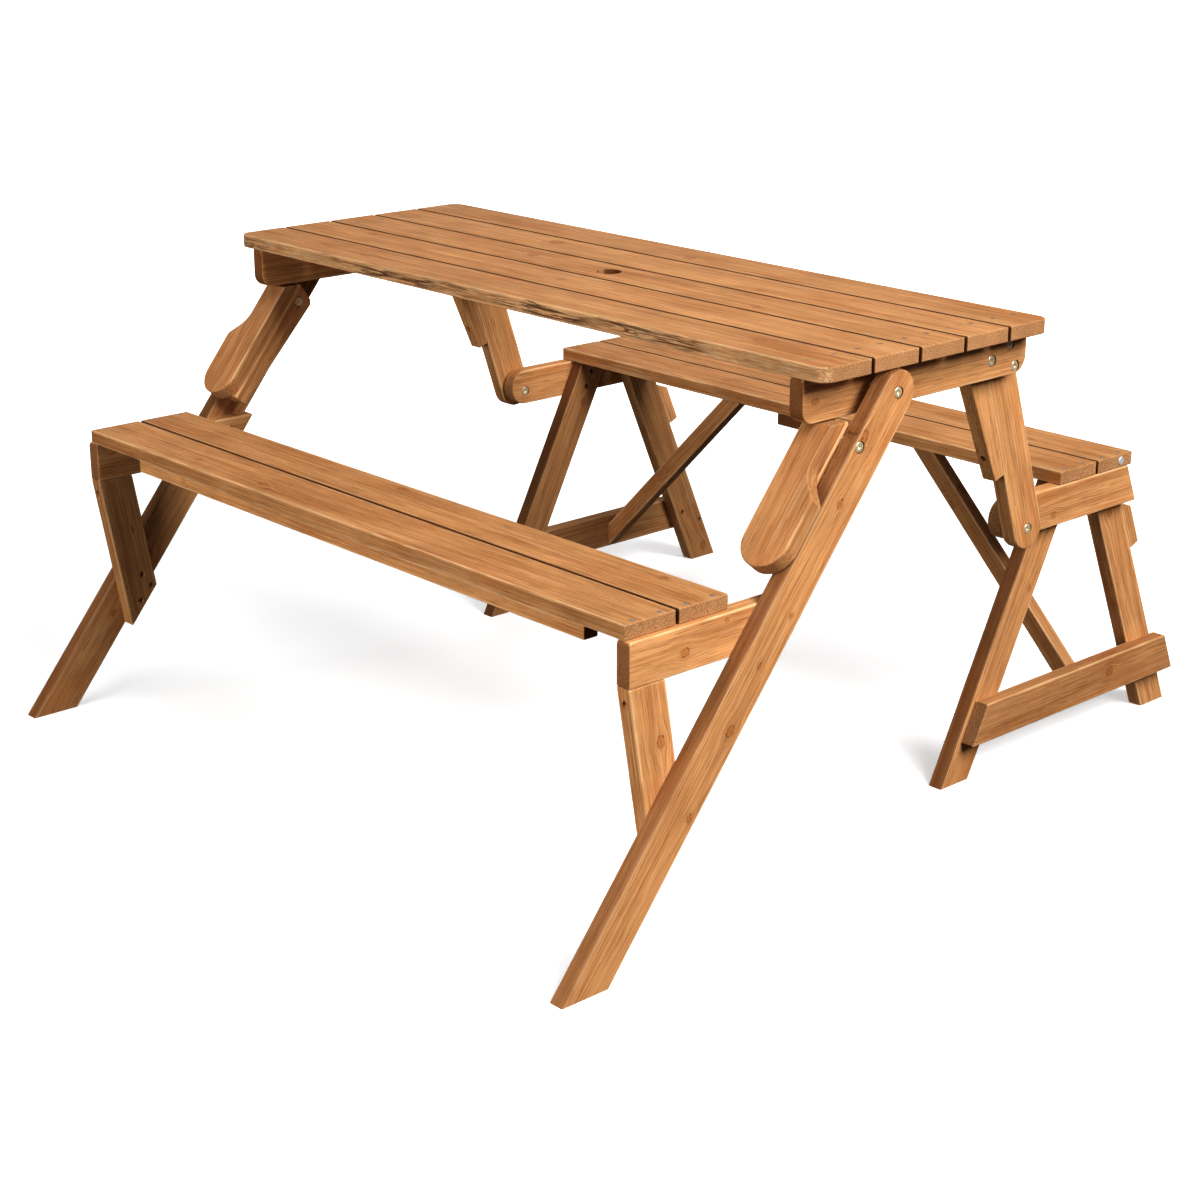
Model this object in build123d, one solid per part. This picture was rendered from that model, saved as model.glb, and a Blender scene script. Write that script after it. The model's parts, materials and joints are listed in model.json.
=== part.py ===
from build123d import *

import math
import os

# Folding picnic table that turns into a garden bench with a backrest.
# X runs along the slats, the front bench is at -Y, the rear bench at +Y, +Z is up.
# The origin is on the ground, under the middle of the table. All sizes are in mm.

# Overall sizes
HALF_LENGTH = 650.0
HALF_DEPTH = 714.0
TABLE_HEIGHT = 730.0
SEAT_HEIGHT = 458.0

# Timber sizes
SLAT_THICKNESS = 21.0
BOARD_THICKNESS = 24.0
BOARD_WIDTH = 61.0
EASE = 2.0

# Distances from the middle of the table to the inner face of each layer of boards
LEG_LAYER = 630.0
FRONT_RAIL_LAYER = 606.0
CLEAT_LAYER = 588.0
POST_LAYER = 564.0
REAR_RAIL_LAYER = 537.0
A_LEG_LAYER = 513.0

# Table top
TOP_SLAT_WIDTH = 88.0
TOP_SLAT_PITCH = 92.5
TOP_FRONT = -267.0
TOP_SLATS = 5
TOP_CORNER_RADIUS = 20.0
UMBRELLA_HOLE_RADIUS = 19.0
UMBRELLA_HOLE_Y = -38.0
CLEAT_FRONT = -266.0
CLEAT_REAR = 190.0
CLEAT_FRONT_RADIUS = 20.0
CLEAT_REAR_RADIUS = 25.0

# Pivots, as (y, z)
BENCH_PIVOT = (251.0, 399.0)
TOP_PIVOT = (-129.0, 677.5)
ARM_PIVOT = (-201.0, 617.5)
PIVOT_END_RADIUS = 30.5

# Posts that carry the table top
POST_TILT = 18.5
BLOCK_START = 108.0
BLOCK_DEPTH_LOW = 20.0
BLOCK_DEPTH_HIGH = 46.0

# Front bench
SEAT_SLAT_WIDTH = 87.0
SEAT_SLAT_PITCH = 91.0
FRONT_SEAT_FRONT = -581.0
FRONT_SEAT_HALF_LENGTH = 621.0
STRUT_LEAN = 9.5
STRUT_WIDTH = 60.0
FRONT_BATTEN_ENDS = (-484.0, 544.0)
FRONT_BATTEN_SPAN = (-578.0, -554.0)
BATTEN_THICKNESS = 20.0
FRONT_RAIL_CORNER_RADIUS = 6.0

# Rear bench
REAR_SEAT_FRONT = 361.0
REAR_SEAT_HALF_LENGTH = 561.0
REAR_RAIL_NOSE = (251.0, 406.5)
REAR_RAIL_END = 557.0
A_LEG_WIDTH = 57.0
FRONT_A_LEG_FOOT = 176.0
FRONT_A_LEG_LEAN = 27.0
REAR_A_LEG_LEAN = 23.5
A_LEG_TOP_GAP = 1.0
STRETCHER_SPAN = (64.0, 125.0)
STRETCHER_SET_BACK = 8.0
STRETCHER_OVERHANG = 9.0
BRACE_REACH = 624.0
BRACE_DEPTH = 30.0
BRACE_SPAN = (452.0, 476.0)
REAR_BATTEN_HALF_WIDTH = 26.0
REAR_BATTEN_SPAN = (367.0, 533.0)
STOP_THICKNESS = 21.0
STOP_BOTTOM = 273.0
STOP_CLEARANCE = 1.0

# Arms, measured along the long leg from the top pivot and forward from its centre line
ARM_LAYER = 580.0
ARM_WIDTH = 48.0
ARM_FACE = 34.5
ARM_HEAD_TOP = 645.5
ARM_HEAD_REAR = -178.0
ARM_HEAD_REACH = 19.5
ARM_HEAD_SLOPE = 33.9
ARM_TAPER = ((88.0, -4.0), (285.0, 9.5))
ARMREST_THICKNESS = 24.0
ARMREST_FLARE = (142.0, 190.0)
ARMREST_FLARE_SLOPE = 0.6
ARMREST_WIDTH = 77.0
ARMREST_END = 295.0

# Pivot hardware
BOLT_RADIUS = 4.0
RUNNING_CLEARANCE = 0.06
SIDE_CLEARANCE = 0.3
HEAD_RADIUS = 7.5
HEAD_HEIGHT = 3.2
NUT_HEIGHT = 3.4
NUT_SEAT = 1.6
RECESS_RADIUS = 8.5
RECESS_DEPTH = 4.0
HEAD_ROUNDING = 1.4
SOCKET_RADIUS = 2.9
SOCKET_DEPTH = 2.2
NUT_SOCKET_DEPTH = 1.5
WASHER_RADIUS = 12.0

# Frame bolts, in the layer of the cleats, as (y, z)
CLEAT_BOLTS = ((115.0, 673.5), (153.5, 692.0), (167.0, 659.0))

# Wood screws
SCREW_RADIUS = 2.0
SCREW_HEAD_RADIUS = 4.0
SCREW_HEAD_HEIGHT = 3.0
SCREW_SLOT = (4.6, 0.9, 1.3)
PLUG_HOLE_RADIUS = 4.6
PLUG_DEPTH = 6.0
FLUSH_SINK = 0.4
FLUSH_OPENING = 2.0
DEEP_OPENING = 40.0
SLAT_SCREW_LENGTH = 45.0
FRAME_SCREW_LENGTH = 36.0
SLAT_SCREW_OFFSET = 22.5

# Places of the frame screws' heads
BLOCK_SCREW_REACH = 146.0
BLOCK_SCREW_DEPTH = 17.0
FRONT_JOINT_SCREWS = ((-514.5, 206.5), (-499.5, 184.5), (-519.5, 163.0), (-330.0, 420.0), (-365.0, 392.0))
STRUT_TOE_SCREW = (-572.0, 360.0)
STRUT_TOE_ANGLE = 30.0
FRONT_BATTEN_SCREWS = (90.0, 400.0)
REAR_JOINT_SCREWS = (
    (376.0, 392.0), (389.0, 418.0), (512.5, 392.0), (501.0, 418.0),
    (241.0, 101.0), (205.0, 78.0), (624.5, 101.0), (671.5, 77.5),
)
BRACE_FOOT_SCREW = (517.0, 90.0)
BRACE_HEAD_SCREW = (190.0, 417.5)
REAR_BATTEN_SCREWS = (405.0, 495.0)
STOP_SCREWS = (318.0, 362.0)
ARM_SCREWS = (130.0, 200.0, 265.0)
ARM_SCREW_HEAD = 20.0

# Tack in the end of the rear seat
TACK_POINT = (510.0, 447.5)
TACK_RADIUS = 6.5
TACK_HEIGHT = 1.5
TACK_ROUNDING = 1.2
TACK_PIN_RADIUS = 1.2
TACK_PIN_LENGTH = 14.0

# Worked out from the sizes above
SLAT_UNDERSIDE = TABLE_HEIGHT - SLAT_THICKNESS
SEAT_UNDERSIDE = SEAT_HEIGHT - SLAT_THICKNESS
RAIL_BOTTOM = SEAT_UNDERSIDE - BOARD_WIDTH
CLEAT_BOTTOM = SLAT_UNDERSIDE - BOARD_WIDTH
FOLD_RISE = TOP_PIVOT[1] - BENCH_PIVOT[1]
FOLD_REACH = BENCH_PIVOT[0] - TOP_PIVOT[0]
FOLD_ANGLE = 2 * math.degrees(math.atan2(FOLD_REACH, FOLD_RISE))
TOP_REAR = TOP_FRONT + (TOP_SLATS - 1) * TOP_SLAT_PITCH + TOP_SLAT_WIDTH
CLEAT_SPAN = (CLEAT_LAYER, CLEAT_LAYER + BOARD_THICKNESS)
ARM_SPAN = (ARM_LAYER, ARM_LAYER + ARM_WIDTH)

DOWN = (0, 0, -1)
UP = (0, 0, 1)
OUTWARD = (1, 0, 0)
INWARD = (-1, 0, 0)


# ---------------------------------------------------------------- outlines in the YZ plane

def leaning(angle):
    """Unit (y, z) direction that points up, tilted by angle degrees towards +Y."""
    return (math.sin(math.radians(angle)), math.cos(math.radians(angle)))


def across(direction):
    """Unit (y, z) direction square to another, a quarter turn clockwise."""
    return (direction[1], -direction[0])


def reverse(direction):
    return (-direction[0], -direction[1])


def offset(point, *steps):
    """Move a (y, z) point by pairs of (distance, direction)."""
    y, z = point
    for distance, direction in steps:
        y += distance * direction[0]
        z += distance * direction[1]
    return (y, z)


def strip(start, end, width):
    """Outline of a straight board around the centre line from start to end."""
    length = math.dist(start, end)
    along = ((end[0] - start[0]) / length, (end[1] - start[1]) / length)
    side = across(along)
    half = width / 2
    return [
        offset(start, (half, side)),
        offset(end, (half, side)),
        offset(end, (-half, side)),
        offset(start, (-half, side)),
    ]


def rectangle(y_span, z_span):
    return [
        (y_span[0], z_span[0]),
        (y_span[1], z_span[0]),
        (y_span[1], z_span[1]),
        (y_span[0], z_span[1]),
    ]


def trim(outline, point, outward):
    """Saw an outline along a line through point and drop the outward side."""

    def overshoot(corner):
        return (corner[0] - point[0]) * outward[0] + (corner[1] - point[1]) * outward[1]

    kept = []
    for here, after in zip(outline, outline[1:] + outline[:1]):
        this_side = overshoot(here)
        next_side = overshoot(after)
        if this_side <= 0:
            kept.append(here)
        if this_side * next_side < 0:
            share = this_side / (this_side - next_side)
            kept.append(tuple(a + share * (b - a) for a, b in zip(here, after)))
    return kept


# The long leg leans so that its toe lands at the front limit of the table
TOE_REACH = TOP_PIVOT[0] + HALF_DEPTH
TOE_ANGLE = math.asin(BOARD_WIDTH / 2 / math.hypot(TOE_REACH, TOP_PIVOT[1]))
LEG_UP = leaning(math.degrees(math.atan2(TOE_REACH, TOP_PIVOT[1]) - TOE_ANGLE))

# The rear leg's heel lands at the rear limit
REAR_A_LEG_FOOT = HALF_DEPTH - A_LEG_WIDTH / 2 / leaning(REAR_A_LEG_LEAN)[1]


# ---------------------------------------------------------------- boards

def outline_face(outline, round_end=None):
    """Face in the YZ plane, with a disc of the pivot radius added at a rounded end."""
    face = Plane.YZ * Polygon(*outline, align=None)
    if round_end:
        face += Plane.YZ * Pos(*round_end) * Circle(PIVOT_END_RADIUS)
    return face


def ease(solid, keep_below=-1.0):
    """Round every edge except those at or below a height, where the board stands."""
    edges = solid.edges().filter_by(lambda edge: edge.center().Z > keep_below)
    return fillet(edges, EASE)


def board(outline, layer, thickness=BOARD_THICKNESS, round_end=None, corners=(), keep_below=-1.0):
    """Board cut to a YZ outline, from its layer outwards along +X, with eased edges.

    corners lists (y, z, radius) for the corners that are cut to a large radius.
    """
    solid = Pos(layer, 0, 0) * extrude(outline_face(outline, round_end), thickness)
    for y, z, radius in corners:
        solid = fillet(cross_edge(solid, y, z), radius)
    return ease(solid, keep_below)


def cross_edge(solid, y, z):
    """The edge of a board that crosses its thickness at (y, z)."""
    edges = solid.edges().filter_by(Axis.X)
    return edges.sort_by_distance((edges[0].center().X, y, z))[0]


def slat(half_length, front, width, top):
    """Straight slat along X, with its edges still sharp."""
    align = (Align.CENTER, Align.MIN, Align.MAX)
    return Pos(0, front, top) * Box(2 * half_length, width, SLAT_THICKNESS, align=align)


def add_pair(parts, name, right):
    """Store the right-hand board and its mirror image on the left."""
    parts[f"{name}_right"] = right
    parts[f"{name}_left"] = mirror(right, about=Plane.YZ)


# ---------------------------------------------------------------- table top

def add_top_slats(parts):
    for number in range(TOP_SLATS):
        front = TOP_FRONT + number * TOP_SLAT_PITCH
        solid = slat(HALF_LENGTH, front, TOP_SLAT_WIDTH, TABLE_HEIGHT)
        corners = solid.edges().filter_by(Axis.Z)
        if number == 0:
            solid = fillet(corners.group_by(Axis.Y)[0], TOP_CORNER_RADIUS)
        if number == TOP_SLATS - 1:
            solid = fillet(corners.group_by(Axis.Y)[-1], TOP_CORNER_RADIUS)
        parts[f"top_slat_{number + 1}"] = ease(solid)
    umbrella_hole = Pos(0, UMBRELLA_HOLE_Y, TABLE_HEIGHT) * Cylinder(UMBRELLA_HOLE_RADIUS, 2 * HALF_LENGTH)
    parts["top_slat_3"] -= umbrella_hole


def add_cleats(parts):
    outline = rectangle((CLEAT_FRONT, CLEAT_REAR), (CLEAT_BOTTOM, SLAT_UNDERSIDE))
    corners = (
        (CLEAT_FRONT, CLEAT_BOTTOM, CLEAT_FRONT_RADIUS),
        (CLEAT_REAR, CLEAT_BOTTOM, CLEAT_REAR_RADIUS),
        (CLEAT_REAR, SLAT_UNDERSIDE, CLEAT_REAR_RADIUS / 2),
    )
    add_pair(parts, "top_cleat", board(outline, CLEAT_LAYER, corners=corners))


def add_posts(parts):
    """Posts that hinge on the rear bench, with a tapered block along the front edge."""
    up = leaning(-POST_TILT)
    forward = reverse(across(up))
    far_end = offset(BENCH_PIVOT, (2 * TABLE_HEIGHT, up))
    post = trim(strip(BENCH_PIVOT, far_end, BOARD_WIDTH), (0, SLAT_UNDERSIDE), (0, 1))
    add_pair(parts, "post", board(post, POST_LAYER, round_end=BENCH_PIVOT))

    front_edge = offset(BENCH_PIVOT, (BOARD_WIDTH / 2, forward))
    top_reach = (SLAT_UNDERSIDE - BENCH_PIVOT[1]) / up[1]
    block = [
        offset(front_edge, (BLOCK_START, up)),
        offset(front_edge, (2 * top_reach, up)),
        offset(front_edge, (2 * top_reach, up), (2 * BLOCK_DEPTH_HIGH - BLOCK_DEPTH_LOW, forward)),
        offset(front_edge, (BLOCK_START, up), (BLOCK_DEPTH_LOW, forward)),
    ]
    block = trim(block, (0, SLAT_UNDERSIDE), (0, 1))
    add_pair(parts, "post_block", board(block, POST_LAYER))


# ---------------------------------------------------------------- front bench

def leg_point(along, forward):
    """(y, z) of a point given down the long leg from its pivot and forward of its middle."""
    return offset(TOP_PIVOT, (-along, LEG_UP), (-forward, across(LEG_UP)))


def leg_rear_edge():
    """A point on the rear edge of the long leg, and the direction that points away from it."""
    return leg_point(0, -BOARD_WIDTH / 2), across(LEG_UP)


def add_long_legs(parts):
    outline = strip(leg_point(2 * TOP_PIVOT[1], 0), TOP_PIVOT, BOARD_WIDTH)
    outline = trim(outline, (0, 0), (0, -1))
    leg = board(outline, LEG_LAYER, round_end=TOP_PIVOT, keep_below=EASE)
    add_pair(parts, "long_leg", leg)


def add_front_rails(parts):
    outline = rectangle((FRONT_SEAT_FRONT, TOP_PIVOT[0]), (RAIL_BOTTOM, SEAT_UNDERSIDE))
    outline = trim(outline, *leg_rear_edge())
    corners = ((FRONT_SEAT_FRONT, SEAT_UNDERSIDE, FRONT_RAIL_CORNER_RADIUS),)
    add_pair(parts, "front_rail", board(outline, FRONT_RAIL_LAYER, corners=corners))


def add_front_struts(parts):
    down = reverse(leaning(-STRUT_LEAN))
    half_run = STRUT_WIDTH / 2 / down[1]
    start = (FRONT_SEAT_FRONT - half_run, RAIL_BOTTOM)
    outline = strip(offset(start, (-BOARD_WIDTH, down)), offset(start, (SEAT_HEIGHT, down)), STRUT_WIDTH)
    outline = trim(outline, (0, RAIL_BOTTOM), (0, 1))
    outline = trim(outline, *leg_rear_edge())
    add_pair(parts, "front_strut", board(outline, FRONT_RAIL_LAYER))


def add_front_seat(parts):
    for number in range(2):
        front = FRONT_SEAT_FRONT + number * SEAT_SLAT_PITCH
        solid = slat(FRONT_SEAT_HALF_LENGTH, front, SEAT_SLAT_WIDTH, SEAT_HEIGHT)
        parts[f"front_slat_{number + 1}"] = ease(solid)
    outline = rectangle(FRONT_BATTEN_SPAN, (SEAT_UNDERSIDE - BATTEN_THICKNESS, SEAT_UNDERSIDE))
    left, right = FRONT_BATTEN_ENDS
    parts["front_seat_batten"] = board(outline, left, right - left)


# ---------------------------------------------------------------- arms

def add_arm_boards(parts):
    outline = [
        leg_point(0, ARM_FACE),
        leg_point(ARM_TAPER[1][0], ARM_FACE),
        leg_point(*ARM_TAPER[1]),
        leg_point(*ARM_TAPER[0]),
        leg_point(0, ARM_TAPER[0][1]),
    ]
    head_slope = leaning(90 - ARM_HEAD_SLOPE)
    outline = trim(outline, (0, ARM_HEAD_TOP), (0, 1))
    outline = trim(outline, (ARM_HEAD_REAR, 0), (1, 0))
    outline = trim(outline, offset(ARM_PIVOT, (ARM_HEAD_REACH, head_slope)), head_slope)
    add_pair(parts, "arm_board", board(outline, ARM_LAYER, ARM_WIDTH))


def armrest_plan():
    """Plan of the armrest: a straight neck, an S-shaped flare and a full round end."""
    round_radius = ARMREST_WIDTH / 2
    straight_end = ARMREST_END - round_radius
    flare_start = (ARMREST_FLARE[0], ARM_WIDTH)
    flare_end = (ARMREST_FLARE[1], ARMREST_WIDTH)
    outline = [
        Line((0, 0), (0, ARM_WIDTH)),
        Line((0, ARM_WIDTH), flare_start),
        Spline(flare_start, flare_end, tangents=((1, 0), (1, ARMREST_FLARE_SLOPE))),
        Line(flare_end, (straight_end, ARMREST_WIDTH)),
        ThreePointArc((straight_end, ARMREST_WIDTH), (ARMREST_END, round_radius), (straight_end, 0)),
        Line((straight_end, 0), (0, 0)),
    ]
    return make_face(outline)


def add_armrests(parts):
    """Paddle on the front of the arm board, drawn down the leg and out from the arm layer."""
    plane = Plane(
        origin=(ARM_LAYER, *leg_point(0, ARM_FACE)),
        x_dir=(0, *reverse(LEG_UP)),
        z_dir=(0, *reverse(across(LEG_UP))),
    )
    solid = extrude(plane * armrest_plan(), ARMREST_THICKNESS)
    sawn_off = Pos(0, 0, ARM_HEAD_TOP) * Box(
        2 * TABLE_HEIGHT, 2 * TABLE_HEIGHT, TABLE_HEIGHT, align=(Align.CENTER, Align.CENTER, Align.MIN)
    )
    add_pair(parts, "armrest", ease(solid - sawn_off))


# ---------------------------------------------------------------- rear bench

def add_rear_seat(parts):
    for number in range(2):
        front = REAR_SEAT_FRONT + number * SEAT_SLAT_PITCH
        solid = slat(REAR_SEAT_HALF_LENGTH, front, SEAT_SLAT_WIDTH, SEAT_HEIGHT)
        parts[f"rear_slat_{number + 1}"] = ease(solid)
    outline = rectangle(REAR_BATTEN_SPAN, (SEAT_UNDERSIDE - SLAT_THICKNESS, SEAT_UNDERSIDE))
    parts["rear_seat_batten"] = board(outline, -REAR_BATTEN_HALF_WIDTH, 2 * REAR_BATTEN_HALF_WIDTH)


def rear_leg_edge(distance=0.0):
    """A point on the rear edge of the rear A-leg, moved outwards, and the outward direction."""
    outward = across(leaning(-REAR_A_LEG_LEAN))
    return offset((REAR_A_LEG_FOOT, 0), (A_LEG_WIDTH / 2 + distance, outward)), outward


def front_leg_edge(distance=0.0):
    """A point on the front edge of the front A-leg, moved outwards, and the outward direction."""
    outward = reverse(across(leaning(FRONT_A_LEG_LEAN)))
    return offset((FRONT_A_LEG_FOOT, 0), (A_LEG_WIDTH / 2 + distance, outward)), outward


def add_a_leg(parts, name, foot, lean):
    """Leg of the rear bench from a foot centre on the ground, leaning by an angle."""
    up = leaning(lean)
    foot = (foot, 0.0)
    outline = strip(offset(foot, (-A_LEG_WIDTH, up)), offset(foot, (2 * SEAT_HEIGHT, up)), A_LEG_WIDTH)
    outline = trim(outline, (0, 0), (0, -1))
    outline = trim(outline, (0, SEAT_UNDERSIDE - A_LEG_TOP_GAP), (0, 1))
    add_pair(parts, name, board(outline, A_LEG_LAYER, keep_below=EASE))


def add_rear_rails(parts):
    outline = rectangle((REAR_RAIL_NOSE[0], HALF_DEPTH), (RAIL_BOTTOM, SEAT_UNDERSIDE))
    outline = trim(outline, (REAR_RAIL_END, RAIL_BOTTOM), rear_leg_edge()[1])
    add_pair(parts, "rear_rail", board(outline, REAR_RAIL_LAYER, round_end=REAR_RAIL_NOSE))


def add_stretchers(parts):
    outline = rectangle((-HALF_DEPTH, HALF_DEPTH), STRETCHER_SPAN)
    outline = trim(outline, *front_leg_edge(-STRETCHER_SET_BACK))
    outline = trim(outline, *rear_leg_edge(STRETCHER_OVERHANG))
    add_pair(parts, "rear_stretcher", board(outline, REAR_RAIL_LAYER))


def add_braces(parts):
    """Braces at 45 degrees, from the inner face of each stretcher up to the seat."""
    half = BRACE_DEPTH / math.sqrt(2)
    corners = [
        (REAR_RAIL_LAYER, BRACE_REACH - REAR_RAIL_LAYER - half),
        (REAR_RAIL_LAYER, BRACE_REACH - REAR_RAIL_LAYER + half),
        (BRACE_REACH - SEAT_UNDERSIDE + half, SEAT_UNDERSIDE),
        (BRACE_REACH - SEAT_UNDERSIDE - half, SEAT_UNDERSIDE),
    ]
    face = Plane.XZ * Polygon(*corners, align=None)
    thickness = BRACE_SPAN[1] - BRACE_SPAN[0]
    solid = extrude(Pos(0, BRACE_SPAN[0], 0) * face, thickness, dir=(0, 1, 0))
    add_pair(parts, "rear_brace", ease(solid))


def add_backrest_stops(parts):
    """Strips behind the rear legs that the rear edge of the folded table top leans on."""
    point, outward = rear_leg_edge(STOP_THICKNESS / 2)
    up = leaning(-REAR_A_LEG_LEAN)
    start = offset(point, (STOP_BOTTOM / up[1], up))
    outline = strip(start, offset(start, (SEAT_HEIGHT, up)), STOP_THICKNESS)
    folded = leaning(FOLD_ANGLE - 90)
    reach = BENCH_PIVOT[0] - TOP_REAR - STOP_CLEARANCE
    outline = trim(outline, offset(BENCH_PIVOT, (reach, folded)), folded)
    add_pair(parts, "backrest_stop", board(outline, A_LEG_LAYER))


# ---------------------------------------------------------------- fasteners

def facing(point, direction):
    """Place for a fastener whose head looks along direction."""
    return Plane(origin=point, z_dir=direction).location


def both_sides(points, direction):
    """Places on the right-hand side and their mirror images on the left."""
    places = []
    for side in (1, -1):
        for x, y, z in points:
            places.append(facing((side * x, y, z), (side * direction[0], *direction[1:])))
    return places


def cylinder(radius, start, end):
    """Cylinder along the fastener's axis between two heights."""
    align = (Align.CENTER, Align.CENTER, Align.MIN)
    return Pos(0, 0, min(start, end)) * Cylinder(radius, abs(end - start), align=align)


def screw_head():
    return Pos(0, 0, -SCREW_HEAD_HEIGHT / 2) * Cone(SCREW_RADIUS, SCREW_HEAD_RADIUS, SCREW_HEAD_HEIGHT)


def screw(length):
    """Countersunk wood screw, head face at zero and shank downwards."""
    width, breadth, depth = SCREW_SLOT
    cross = Box(width, breadth, 2 * depth) + Box(breadth, width, 2 * depth)
    return screw_head() + cylinder(SCREW_RADIUS, 0, -length) - cross


def screw_hole(length, opening, radius=PLUG_HOLE_RADIUS):
    """Hole for a screw, open above its head for the given distance."""
    return screw_head() + cylinder(SCREW_RADIUS, 0, -length) + cylinder(radius, 0, opening)


def rounded_disc(radius, height, edge):
    """Disc that stands on zero with its far rim rounded."""
    disc = cylinder(radius, 0, height)
    return fillet(disc.edges().sort_by(Axis.Z)[-1], edge)


def hex_socket(face, depth):
    """Hexagonal socket cut down from a face at the given height."""
    return extrude(Pos(0, 0, face - depth) * RegularPolygon(SOCKET_RADIUS, 6), 2 * depth)


def bolt(grip):
    """Hex-socket bolt, underside of the head at zero and shank downwards."""
    head = rounded_disc(HEAD_RADIUS, HEAD_HEIGHT, HEAD_ROUNDING)
    return head + cylinder(BOLT_RADIUS, 0, -grip) - hex_socket(HEAD_HEIGHT, SOCKET_DEPTH)


def sleeve_nut():
    """Round nut on its seat at zero, with a blind bore below and a hex socket on its face."""
    body = rounded_disc(HEAD_RADIUS, NUT_HEIGHT, HEAD_ROUNDING / 2)
    return body - cylinder(BOLT_RADIUS, 0, NUT_SEAT) - hex_socket(NUT_HEIGHT, NUT_SOCKET_DEPTH)


def ring(length):
    """Washer or spacer that stands on its seat at zero."""
    return cylinder(WASHER_RADIUS, 0, length) - cylinder(BOLT_RADIUS, 0, length)


def fasten(parts, name, shape, places):
    parts[name] = Compound(children=[place * shape for place in places])


def drill(parts, nodes, tool, places):
    """Open a hole at every place in each of the named boards."""
    tools = [place * tool for place in places]
    for node in nodes:
        parts[node] = parts[node] - tools


def pair_of(*names):
    return [f"{name}_{side}" for name in names for side in ("right", "left")]


def add_screws(parts, name, length, opening, places, nodes):
    drill(parts, nodes, screw_hole(length, opening), places)
    fasten(parts, name, screw(length), places)


# ---------------------------------------------------------------- screws

def slat_ends(x, fronts, width, top):
    """Places of two screws in both ends of each slat, either side of its middle."""
    points = []
    for front in fronts:
        for across_slat in (-SLAT_SCREW_OFFSET, SLAT_SCREW_OFFSET):
            points.append((x, front + width / 2 + across_slat, top - FLUSH_SINK))
    return both_sides(points, UP)


def add_slat_screws(parts):
    middle = BOARD_THICKNESS / 2
    top_fronts = [TOP_FRONT + number * TOP_SLAT_PITCH for number in range(TOP_SLATS)]
    top_slats = [f"top_slat_{number + 1}" for number in range(TOP_SLATS)]
    front_fronts = [FRONT_SEAT_FRONT + number * SEAT_SLAT_PITCH for number in range(2)]
    rear_fronts = [REAR_SEAT_FRONT + number * SEAT_SLAT_PITCH for number in range(2)]
    rows = (
        ("top", CLEAT_LAYER + middle, top_fronts, TOP_SLAT_WIDTH, TABLE_HEIGHT, top_slats, "top_cleat"),
        ("front", FRONT_RAIL_LAYER + middle / 2, front_fronts, SEAT_SLAT_WIDTH, SEAT_HEIGHT,
         ["front_slat_1", "front_slat_2"], "front_rail"),
        ("rear", REAR_RAIL_LAYER + middle, rear_fronts, SEAT_SLAT_WIDTH, SEAT_HEIGHT,
         ["rear_slat_1", "rear_slat_2"], "rear_rail"),
    )
    for row, x, fronts, width, height, slats, support in rows:
        places = slat_ends(x, fronts, width, height)
        nodes = slats + pair_of(support)
        add_screws(parts, f"{row}_slat_screws", SLAT_SCREW_LENGTH, FLUSH_OPENING, places, nodes)


def add_block_screws(parts):
    """One screw through the front of each post block into the post."""
    up = leaning(-POST_TILT)
    forward = reverse(across(up))
    head = offset(BENCH_PIVOT, (BLOCK_SCREW_REACH, up), (BOARD_WIDTH / 2 + BLOCK_SCREW_DEPTH, forward))
    places = both_sides([(POST_LAYER + BOARD_THICKNESS / 2, *head)], (0, *forward))
    nodes = pair_of("post", "post_block")
    add_screws(parts, "post_block_screws", FRAME_SCREW_LENGTH, DEEP_OPENING, places, nodes)


def add_front_frame_screws(parts):
    """Screws that hold the rails and struts to the long legs, and the batten to the seat."""
    head_x = FRONT_RAIL_LAYER + PLUG_DEPTH
    places = both_sides([(head_x, y, z) for y, z in FRONT_JOINT_SCREWS], INWARD)
    toe = (FRONT_RAIL_LAYER + BOARD_THICKNESS / 2, *STRUT_TOE_SCREW)
    places += both_sides([toe], (0, *reverse(leaning(STRUT_TOE_ANGLE))))
    batten_y = sum(FRONT_BATTEN_SPAN) / 2
    batten_z = SEAT_UNDERSIDE - BATTEN_THICKNESS + FLUSH_SINK
    places += both_sides([(x, batten_y, batten_z) for x in FRONT_BATTEN_SCREWS], DOWN)
    nodes = pair_of("front_rail", "front_strut", "long_leg") + ["front_slat_1", "front_seat_batten"]
    add_screws(parts, "front_frame_screws", FRAME_SCREW_LENGTH, DEEP_OPENING, places, nodes)


def add_rear_frame_screws(parts):
    """Screws of the A-legs, braces, centre batten and backrest stops."""
    head_x = A_LEG_LAYER + PLUG_DEPTH
    places = both_sides([(head_x, y, z) for y, z in REAR_JOINT_SCREWS], INWARD)
    brace_y = sum(BRACE_SPAN) / 2
    places += both_sides([(BRACE_FOOT_SCREW[0], brace_y, BRACE_FOOT_SCREW[1])], INWARD)
    places += both_sides([(BRACE_HEAD_SCREW[0], brace_y, BRACE_HEAD_SCREW[1])], DOWN)
    batten_z = SEAT_UNDERSIDE - SLAT_THICKNESS + FLUSH_SINK
    places += both_sides([(REAR_BATTEN_HALF_WIDTH / 2, y, batten_z) for y in REAR_BATTEN_SCREWS], DOWN)
    surface, outward = rear_leg_edge(STOP_THICKNESS - FLUSH_SINK)
    up = leaning(-REAR_A_LEG_LEAN)
    stop_x = A_LEG_LAYER + BOARD_THICKNESS / 2
    stops = [(stop_x, *offset(surface, (reach, up))) for reach in STOP_SCREWS]
    places += both_sides(stops, (0, *outward))
    nodes = pair_of("rear_front_leg", "rear_back_leg", "rear_rail", "rear_stretcher", "rear_brace")
    nodes += pair_of("backrest_stop") + ["rear_slat_1", "rear_slat_2", "rear_seat_batten"]
    add_screws(parts, "rear_frame_screws", FRAME_SCREW_LENGTH, DEEP_OPENING, places, nodes)


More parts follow.
